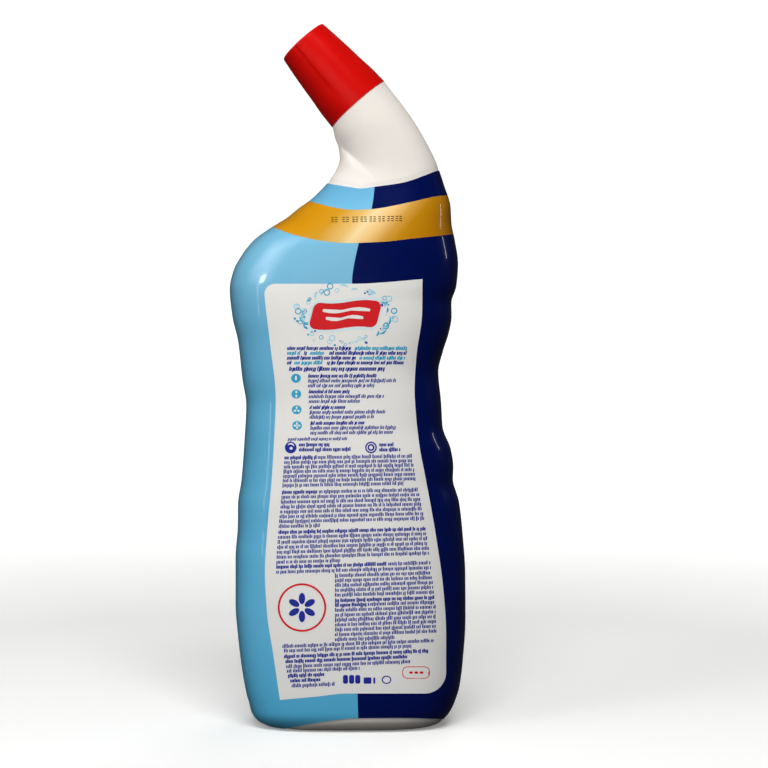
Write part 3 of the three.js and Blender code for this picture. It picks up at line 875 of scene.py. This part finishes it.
# %% [markdown]
# ## Print on the sleeve
# Small print stays crisp if it is cut as thin patches of ink instead of painted in a texture. A patch
# is drawn flat, as the photograph shows it, and each of its points is carried along its line of
# sight to the film, and set about a tenth of a millimetre proud of it.

# %% Carry flat drawings onto the film
PANEL_LIFT = 0.05
PRINT_LIFT = 0.09
HALO_LIFT = 0.07
TOP_LIFT = 0.12

film_tree = BVHTree.FromPolygons(
    sleeve_points[: len(rows) * 2 * SHEET_COLUMNS].tolist(), ring_faces(len(rows), 2 * SHEET_COLUMNS))
eye = Vector((CAMERA_X, -CAMERA_DISTANCE, CAMERA_HEIGHT))


def on_film(x, z, lift):
    """The point of the film that is seen at (x, z) on the middle plane, lifted off it."""
    hit, normal, _, _ = film_tree.ray_cast(eye, Vector((x, 0, z)) - eye)
    if normal.y > 0:
        normal = -normal
    return hit + normal * lift


class Patches:
    """Collects flat shapes of one ink and turns them into one piece on the film."""

    def __init__(self, name, finish, lift=PRINT_LIFT):
        self.name, self.finish, self.lift = name, finish, lift
        self.points, self.faces = [], []

    def polygon(self, outline):
        """A small shape, as one face."""
        start = len(self.points)
        self.points += [on_film(x, z, self.lift) for x, z in outline]
        self.faces.append(tuple(range(start, len(self.points))))

    def filled(self, outline, rings=5):
        """A large convex shape, as shrinking outlines that all lie on the film."""
        outline = np.array(outline)
        middle = outline.mean(axis=0)
        for i in range(rings):
            outer, inner = 1 - i / rings, 1 - (i + 1) / rings
            self.band(middle + (outline - middle) * outer, middle + (outline - middle) * inner)

    def band(self, outer, inner):
        """The ground between two outlines of as many points."""
        start, count = len(self.points), len(outer)
        self.points += [on_film(x, z, self.lift) for x, z in [*outer, *inner]]
        for i in range(count):
            j = (i + 1) % count
            self.faces.append((start + i, start + j, start + count + j, start + count + i))

    def finish_piece(self):
        make_piece(self.name, np.array(self.points), self.faces, [self.finish], "bottle")


# %% [markdown]
# ### The white panel
# The panel has four bowed sides and two rounded corners. A grid stretched between the sides keeps it
# close to the curved film everywhere.

# %% Panel
PANEL_LEFT = [
    (8.6, -27.1), (27.6, -29.9), (44, -32.3), (60, -33.1), (74.8, -32.3), (96.8, -30.4), (109.6, -29.6),
    (128.8, -28.8), (151.8, -31.1), (170.8, -33.3), (176, -33.6),
]
PANEL_RIGHT = [
    (10, 39.3), (21.2, 39.3), (35.8, 39.3), (52, 38.3), (76.4, 34.9), (98.4, 30.9), (108.8, 28.9),
    (121.2, 27.4), (132.8, 26.7), (145.6, 27.4), (163.2, 29.7), (177, 29.9),
]
PANEL_FOOT = [(-27.1, 8.6), (-10, 10), (3.8, 11.2), (40, 11.2)]
PANEL_TOP = [(-34, 175.1), (1.7, 175.1), (14, 175.7), (29.9, 177)]
TOP_LEFT_CORNER = 4.5
FOOT_RIGHT_CORNER = 8.5
PANEL_COLUMNS, PANEL_ROWS = 56, 130

panel_left, panel_right = curve(PANEL_LEFT), curve(PANEL_RIGHT)
panel_foot, panel_top = curve(PANEL_FOOT), curve(PANEL_TOP)


def corner_cut(away, radius):
    """How far a rounded corner draws the side in at a distance from the corner."""
    inside = np.clip(radius - away, 0, radius)
    return radius - np.sqrt(radius**2 - inside**2)


def panel_point(across, up):
    """A point of the panel: across and up run from 0 to 1 between its sides."""
    z = panel_foot(-27 + 66 * across) * (1 - up) + panel_top(-33 + 63 * across) * up
    left = panel_left(z) + corner_cut(panel_top(-33) - z, TOP_LEFT_CORNER)
    right = panel_right(z) - corner_cut(z - panel_foot(39), FOOT_RIGHT_CORNER)
    return float(left + (right - left) * across), float(z)


panel = Patches("label_panel", WHITE_INK, PANEL_LIFT)
ups = 0.5 - 0.5 * np.cos(np.pi * np.linspace(0, 1, PANEL_ROWS + 1))
for up in ups:
    for across in np.linspace(0, 1, PANEL_COLUMNS + 1):
        panel.points.append(on_film(*panel_point(across, up), PANEL_LIFT))
for r in range(PANEL_ROWS):
    for c in range(PANEL_COLUMNS):
        corner = r * (PANEL_COLUMNS + 1) + c
        panel.faces.append((corner, corner + 1, corner + PANEL_COLUMNS + 2, corner + PANEL_COLUMNS + 1))
panel.finish_piece()

# %% [markdown]
# ### Small print
# The rows of small print are greeked: little blocks with the weight, the spacing and the word lengths
# of printed rows, which say nothing. They lean a little, and more towards the foot, because a sleeve
# shrinks unevenly.

# %% Greeked rows
ROW_LEAN = curve([(14, 0.045), (40, 0.035), (77, 0.024), (110, 0.012), (150, 0.0)])
BLOCK_SHARE = 0.72
BOLD_SHARE = 0.86
LETTER_WIDTHS = (0.42, 0.64)
rng = random.Random(7)

text_blue = Patches("print_blue", TEXT_BLUE)
cyan = Patches("print_cyan", CYAN)
pale_cyan = Patches("print_pale_cyan", PALE_CYAN)
red = Patches("print_red", RED_INK)
halo = Patches("print_halo", HALO_INK, HALO_LIFT)
white_mark = Patches("print_white", WHITE_INK, TOP_LIFT)


def block(ink, x, z, width, height, slant):
    """One upright block of a word, leaning like italic where slant is set."""
    lean = slant * height
    ink.polygon([(x, z), (x + width, z), (x + width + lean, z + height), (x + lean, z + height)])


def greek_row(start, end, z, height, ink=text_blue, bold=False, slant=0.0, pivot=None):
    """Words of blocks from start to end, at height z at the pivot, or else at the start."""
    lean = float(ROW_LEAN(z))
    pivot = start if pivot is None else pivot
    x = start
    while x < end - height * 0.6:
        for _ in range(rng.choice((2, 3, 4, 5, 6, 7, 8, 10))):
            advance = height * rng.uniform(*LETTER_WIDTHS)
            if x + advance > end:
                break
            rise = height * rng.choice((1, 1, 1, 1.35))
            drop = height * rng.choice((0, 0, 0, 0, 0, 0.3))
            share = BOLD_SHARE if bold else BLOCK_SHARE
            foot = z - height / 2 - drop + lean * (x - pivot)
            block(ink, x, foot, advance * share, rise + drop, slant)
            x += advance
        x += height * 0.36


# %% Discs, rings and other simple shapes
def around(x, z, radius, turn, squash=1.0):
    return x + radius * math.cos(turn), z + radius * squash * math.sin(turn)


def circle(x, z, radius, count=32, squash=1.0):
    return [around(x, z, radius, 2 * math.pi * i / count, squash) for i in range(count)]


CORNER_STEPS, SIDE_STEP, PETAL_STEPS, ARC_STEPS = 6, 2.0, 20, 14


def rounded_bar(x, z, width, height, radius, slant=0.0, bow=0.0):
    """A bar with rounded corners. It may lean sideways, and bow like a wave."""
    corners = [(1, 1, 0), (-1, 1, 90), (-1, -1, 180), (1, -1, 270)]
    turned = []
    for side, rise, start in corners:
        for i in range(CORNER_STEPS + 1):
            turn = math.radians(start + 90 * i / CORNER_STEPS)
            turned.append(around(side * (width / 2 - radius), rise * (height / 2 - radius), radius, turn))
    outline = []
    for (ax, az), (bx, bz) in zip(turned, turned[1:] + turned[:1]):
        steps = max(1, round(math.hypot(bx - ax, bz - az) / SIDE_STEP))
        outline += [(ax + (bx - ax) * k / steps, az + (bz - az) * k / steps) for k in range(steps)]
    return [
        (x + px + slant * pz, z + pz + bow * math.sin(2 * math.pi * px / width)) for px, pz in outline]


def petal(x, z, length, width, turn):
    """A pointed oval that starts at (x, z) and lies along turn."""
    outline = []
    for i in range(PETAL_STEPS):
        along = length * (0.5 - 0.5 * math.cos(2 * math.pi * i / PETAL_STEPS))
        aside = width / 2 * math.sin(2 * math.pi * i / PETAL_STEPS)
        outline.append((
            x + along * math.cos(turn) - aside * math.sin(turn),
            z + along * math.sin(turn) + aside * math.cos(turn)))
    return outline


# %% [markdown]
# ### The panel's layout
# A badge of a red ribbon among bubbles heads the panel. Under it come an introduction, four points
# that start with a disc, two contacts with round icons, and the blocks of small print.

# %% Badge
def crescent(x, z, radius, start, sweep_angle, thickness):
    """A thin arc that swells in its middle, as the edge of a splash."""
    outer, inner = [], []
    for i in range(ARC_STEPS + 1):
        turn = math.radians(start + sweep_angle * i / ARC_STEPS)
        half = thickness * math.sin(math.pi * i / ARC_STEPS) / 2 + 0.04
        outer.append(around(x, z, radius + half, turn))
        inner.append(around(x, z, radius - half, turn))
    return outer + inner[::-1]


RIBBON = {"slant": 0.25, "bow": 0.7}
BUBBLES, BUBBLE_REACH = 64, (17.0, 10.4)
ARCS, ARC_REACH = 26, (15.6, 9.0)


def badge(x, z):
    """A red ribbon with pale waves along it, on a pale ground and ringed by bubbles and arcs."""
    halo.filled(rounded_bar(x, z, 29.5, 13.2, 4.2, **RIBBON))
    red.filled(rounded_bar(x, z, 27, 10.6, 2.6, **RIBBON))
    for level, length in ((1.9, 19), (-1.2, 15)):
        white_mark.filled(rounded_bar(x + level * 0.25, z + level, length, 1.1, 0.5, **RIBBON), 2)
    for _ in range(BUBBLES):
        turn = rng.uniform(0, 2 * math.pi)
        reach = rng.uniform(0.92, 1.22)
        bx = x + BUBBLE_REACH[0] * reach * math.cos(turn)
        bz = z + BUBBLE_REACH[1] * reach * math.sin(turn)
        radius = rng.choice((0.3, 0.4, 0.5, 0.6, 0.9, 1.3))
        inks = (cyan, cyan, pale_cyan, text_blue) if radius < 0.8 else (cyan, pale_cyan)
        ink = rng.choice(inks)
        if radius < 0.6:
            ink.polygon(circle(bx, bz, radius, 14))
        else:
            ink.band(circle(bx, bz, radius, 24), circle(bx, bz, radius * 0.68, 24))
    for _ in range(ARCS):
        turn = rng.uniform(0, 360)
        ax = x + ARC_REACH[0] * math.cos(math.radians(turn))
        az = z + ARC_REACH[1] * math.sin(math.radians(turn))
        ink = rng.choice((cyan, pale_cyan, pale_cyan))
        radius = rng.uniform(1.4, 3.2)
        start = turn + rng.uniform(-70, 10)
        ink.polygon(crescent(ax, az, radius, start, rng.uniform(50, 110), 0.7))


badge(-1.0, 162.6)

# %% Introduction and points
ROW_PITCH = 1.94
INTRO_LEFT, INTRO_RIGHT, INTRO_TOP = -24.4, 23.8, 149.2
ITALIC = 0.25

intro = [
    [(0, 0.55, text_blue), (0.56, 1, cyan)],
    [(0, 0.12, cyan), (0.14, 0.17, text_blue), (0.19, 0.32, cyan), (0.35, 1, text_blue)],
    [(0, 0.58, text_blue), (0.6, 0.99, cyan)],
    [(0, 0.04, text_blue), (0.06, 0.3, cyan), (0.33, 0.98, text_blue)],
]
width = INTRO_RIGHT - INTRO_LEFT
for i, spans in enumerate(intro):
    for start, end, ink in spans:
        first, last = INTRO_LEFT + start * width, INTRO_LEFT + end * width
        greek_row(first, last, INTRO_TOP - i * ROW_PITCH, 1.15, ink, bold=True, slant=ITALIC)
greek_row(-23.6, 15.2, 140.9, 1.3, bold=True, slant=ITALIC)

POINT_TOP, POINT_PITCH = 138.1, 6.3
POINT_ROWS = [(27.9, 35.6, 26.8), (16.6, 30.5, 20.6), (14.7, 30.9, 26.7), (21.7, 34.6, 33.4)]
for i, lengths in enumerate(POINT_ROWS):
    top = POINT_TOP - i * POINT_PITCH
    disc_x = -20.7 + 0.15 * i
    cyan.filled(circle(disc_x, top - 0.8, 1.95, squash=0.93), 2)
    for k in range(i + 1):
        turn = math.radians(90 + 360 * k / (i + 1))
        away = 0.25 if i else -0.85
        foot = around(disc_x, top - 0.8, away, turn)
        white_mark.polygon(petal(*foot, 1.1 if i else 1.9, 0.75, turn))
    for j, length in enumerate(lengths):
        start = -16 + 0.3 * i
        greek_row(start, start + length, top - j * ROW_PITCH, 1.12, bold=j == 0, slant=ITALIC)
greek_row(-24.1, -0.1, 112.8, 1.0, slant=ITALIC)

# %% Contacts
ICON_HEIGHT, ICON_RADIUS = 109.6, 2.35
FIRST_ICON, SECOND_ICON = -22.8, 9.3
text_blue.filled(circle(FIRST_ICON, ICON_HEIGHT, ICON_RADIUS), 2)
white_mark.polygon(crescent(FIRST_ICON, ICON_HEIGHT, 1.5, 20, 120, 0.55))
white_mark.polygon(circle(-22.6, ICON_HEIGHT - 0.3, 0.6, 16))
text_blue.filled(circle(SECOND_ICON, ICON_HEIGHT, ICON_RADIUS), 2)
white_mark.band(circle(SECOND_ICON, ICON_HEIGHT, 1.75, 28), circle(SECOND_ICON, ICON_HEIGHT, 1.4, 28))
white_mark.polygon(circle(SECOND_ICON, ICON_HEIGHT, 0.75, 20))
for x, first, second in ((-22.7, 13.0, 20.8), (9.4, 6.0, 8.9)):
    for z, length in ((110.6, first), (108.6, second)):
        greek_row(x + 3.2, x + 3.2 + length, z, 1.15, bold=True)

# %% Blocks of small print
SMALL = 1.14
LEFT_MARGIN, RIGHT_MARGIN = 4.5, 3.6
COLUMN_LEFT = -5.1
PARAGRAPHS = [
    (105.4, 7, 1.84, 0.9, 0.26, None), (91.6, 8, 1.95, 0.3, 0.27, None), (75.6, 7, 1.99, 0.42, 1.0, None),
    (61.7, 2, 1.99, 1.0, 0.72, None), (58.3, 5, 1.955, 1.0, 0.0, COLUMN_LEFT),
    (48.3, 1, 1.955, 1.0, 1.0, COLUMN_LEFT), (46.4, 8, 1.955, 0.6, 0.35, COLUMN_LEFT),
]


def paragraph(z, rows_down, pitch, last_share, bold_share, left):
    """Full rows, the first with a bold start, and a last row that stops early."""
    for i in range(rows_down):
        height = z - i * pitch
        first = float(panel_left(height)) + LEFT_MARGIN if left is None else left
        width = float(panel_right(height)) - RIGHT_MARGIN - first
        end = first + width * (last_share if i == rows_down - 1 else 1)
        bold_end = first + width * bold_share if i == 0 else first
        greek_row(first, bold_end, height, SMALL, bold=True)
        greek_row(bold_end, end, height, SMALL, pivot=first)


for settings in PARAGRAPHS:
    paragraph(*settings)
text_blue.polygon([(-26.8, 77.0), (30.6, 78.3), (30.6, 78.5), (-26.8, 77.2)])
for z, start, end, bold in (
    (30.0, -26.1, 34.8, False), (28.2, -25.5, 26.4, False), (25.9, -25.5, 32.6, True),
    (23.9, -24.9, 24.5, True), (21.9, -24.6, 25.3, False), (20.1, -24.3, 5.3, False),
    (18.2, -23.9, -9.3, True), (16.2, -23.0, -10.3, True), (14.2, -22.4, -4.9, False),
):
    greek_row(start, end, z, SMALL, bold=bold)

# %% Flower badge, contents marks and seal
FLOWER_X, FLOWER_Z = -18.3, 45.6

red.band(circle(FLOWER_X, FLOWER_Z, 9.7, 64), circle(FLOWER_X, FLOWER_Z, 8.9, 64))
for i in range(6):
    turn = math.radians(90 + 60 * i)
    text_blue.filled(petal(*around(FLOWER_X, FLOWER_Z, 1.3, turn), 4.6, 2.6, turn), 2)
for i in range(3):
    text_blue.filled(rounded_bar(-0.9 + i * 2.45, 16.9, 2.05, 3.5, 0.8), 2)
for x, width in ((7.9, 3.1), (10.6, 0.8)):
    text_blue.filled(rounded_bar(x, 16.4, width, 2.5, 0.38), 2)
text_blue.band(circle(15.5, 16.7, 1.95, 28, squash=0.85), circle(15.5, 16.7, 1.45, 28, squash=0.82))
red.band(rounded_bar(27.3, 19.6, 11.0, 4.9, 2.0), rounded_bar(27.3, 19.6, 10.4, 4.3, 1.75))
for x in (24.5, 26.6, 28.7):
    red.polygon(petal(x, 19.6, 1.6, 1.0, 0.0))

# %% Ink-jet dashes on the gold band
coding = Patches("coding_dashes", JET_INK)
CODE_STARTS = [-6.7, -2.2, 1.6, 5.0, 8.6, 12.2, 15.8, 19.0]
CODE_PITCH = 1.5
for start in CODE_STARTS:
    for x in (start, start + CODE_PITCH):
        z = 199.9 + 0.02 * (x - 5)
        for level in (0, 1, 2):
            block(coding, x + rng.uniform(0, 0.2), z + level * 0.85, 1.0, 0.32, 0.0)

for ink in (text_blue, cyan, pale_cyan, red, halo, white_mark, coding):
    ink.finish_piece()

# %% [markdown]
# ## Floor, backdrop and light
# A round sheet of pale paper is the floor, and bends up into a wall on every side, so the ground is
# plain from any angle. It glows a little towards its edge, and is kept out of reflections and of
# bounced light, so that the glossy film shows the dark edges that the photograph has.

# %% Stage
STAGE_RADIUS, STAGE_HEIGHT, STAGE_BEND = 2600, 2600, 900
STAGE_COLUMNS, STAGE_STEPS = 96, 24
GLOW_START, GLOW_END = 300, 1000
FLOOR_GLOW, WALL_GLOW = 0.2, 1.0


def paper_stage():
    """A round floor that curves up into a wall on every side."""
    profile = [(radius, 0) for radius in (400, 800, 1200)]
    for i in range(STAGE_STEPS + 1):
        turn = math.pi / 2 * i / STAGE_STEPS
        radius = STAGE_RADIUS - STAGE_BEND + STAGE_BEND * math.sin(turn)
        profile.append((radius, STAGE_BEND * (1 - math.cos(turn))))
    profile.append((STAGE_RADIUS, STAGE_HEIGHT))
    turns = np.linspace(0, 2 * np.pi, STAGE_COLUMNS, endpoint=False)
    level = np.zeros(STAGE_COLUMNS)
    rings = [np.stack([r * np.cos(turns), r * np.sin(turns), level + z], -1) for r, z in profile]
    points = np.concatenate([*rings, [(0, 0, 0)]])
    faces = [face[::-1] for face in ring_faces(len(rings), STAGE_COLUMNS)]
    faces += [(len(points) - 1, c, (c + 1) % STAGE_COLUMNS) for c in range(STAGE_COLUMNS)]
    paper, tree, shader, place = new_finish("stage_paper", roughness=0.9, ior=1.3, colour="f6f6f4")
    set_inputs(shader, {"Specular IOR Level": 0.1, "Emission Color": linear("f6f6f4")})
    away = add_node(tree, "ShaderNodeVectorMath", links={0: place}, operation="LENGTH")
    spans = {"From Min": GLOW_START, "From Max": GLOW_END, "To Min": FLOOR_GLOW, "To Max": WALL_GLOW}
    glow = add_node(tree, "ShaderNodeMapRange", spans, {"Value": away.outputs["Value"]})
    tree.links.new(glow.outputs[0], shader.inputs["Emission Strength"])
    floor = smooth_mesh("paper_stage", points, faces, [paper])
    floor.visible_glossy = False
    floor.visible_diffuse = False


paper_stage()

# %% [markdown]
# Three large lights give the soft shading: the key overhead, a fill from the camera's side and one
# from behind. They don't show in reflections. The others do: nested squares high on the left,
# brightest in the middle, with a glint and a strip below them, and a strip on the right.

# %% Lights
def soft_light(name, place, aim, size, power):
    """A rectangular softbox at a place, turned to face an aim, both in millimetres."""
    lamp = bpy.data.lights.new(name, "AREA")
    lamp.shape = "RECTANGLE"
    lamp.size, lamp.size_y = (side * MM for side in size)
    lamp.energy = power
    holder = bpy.data.objects.new(name, lamp)
    holder.location = Vector(place) * MM
    holder.rotation_euler = (Vector(aim) - Vector(place)).to_track_quat("-Z", "Y").to_euler()
    holder.visible_camera = False
    bpy.context.scene.collection.objects.link(holder)
    print("light", name, power, "W")
    return holder


MIDDLE = (0, 0, 140)
SHADING_LIGHTS = [
    ("key", (60, -830, 1180), (800, 500), 13.8), ("front_fill", (-250, -1450, 250), (900, 900), 8.2),
    ("back_fill", (500, 1300, 1500), (900, 900), 7),
]
for name, place, size, power in SHADING_LIGHTS:
    soft_light(name, place, MIDDLE, size, power).visible_glossy = False
LEFT_SOFT_SIDES = (240, 440, 700, 960)
LEFT_SOFT_WATTS_PER_M2 = 2.4
for i, side in enumerate(LEFT_SOFT_SIDES):
    power = LEFT_SOFT_WATTS_PER_M2 * (side * MM) ** 2
    soft_light(f"left_soft_{i}", (-940, -606 - 2 * i, 900), (-30, -21, 185), (side, side), power)
soft_light("left_glint", (-917, -770, 489), (-33, -22, 176), (150, 130), 1.1)
soft_light("left_strip", (-1000, -727, 230), (-34, -22, 160), (24, 420), 0.21)
soft_light("right_strip", (990, 100, 450), (38, -14, 198), (30, 220), 0.22)

ROOM_LIGHT = 0.07
world = bpy.data.worlds.new("room")
world.use_nodes = True
set_inputs(world.node_tree.nodes["Background"], {"Color": linear("9a9ca0"), "Strength": ROOM_LIGHT})
bpy.context.scene.world = world
bpy.context.scene.view_settings.view_transform = "Standard"
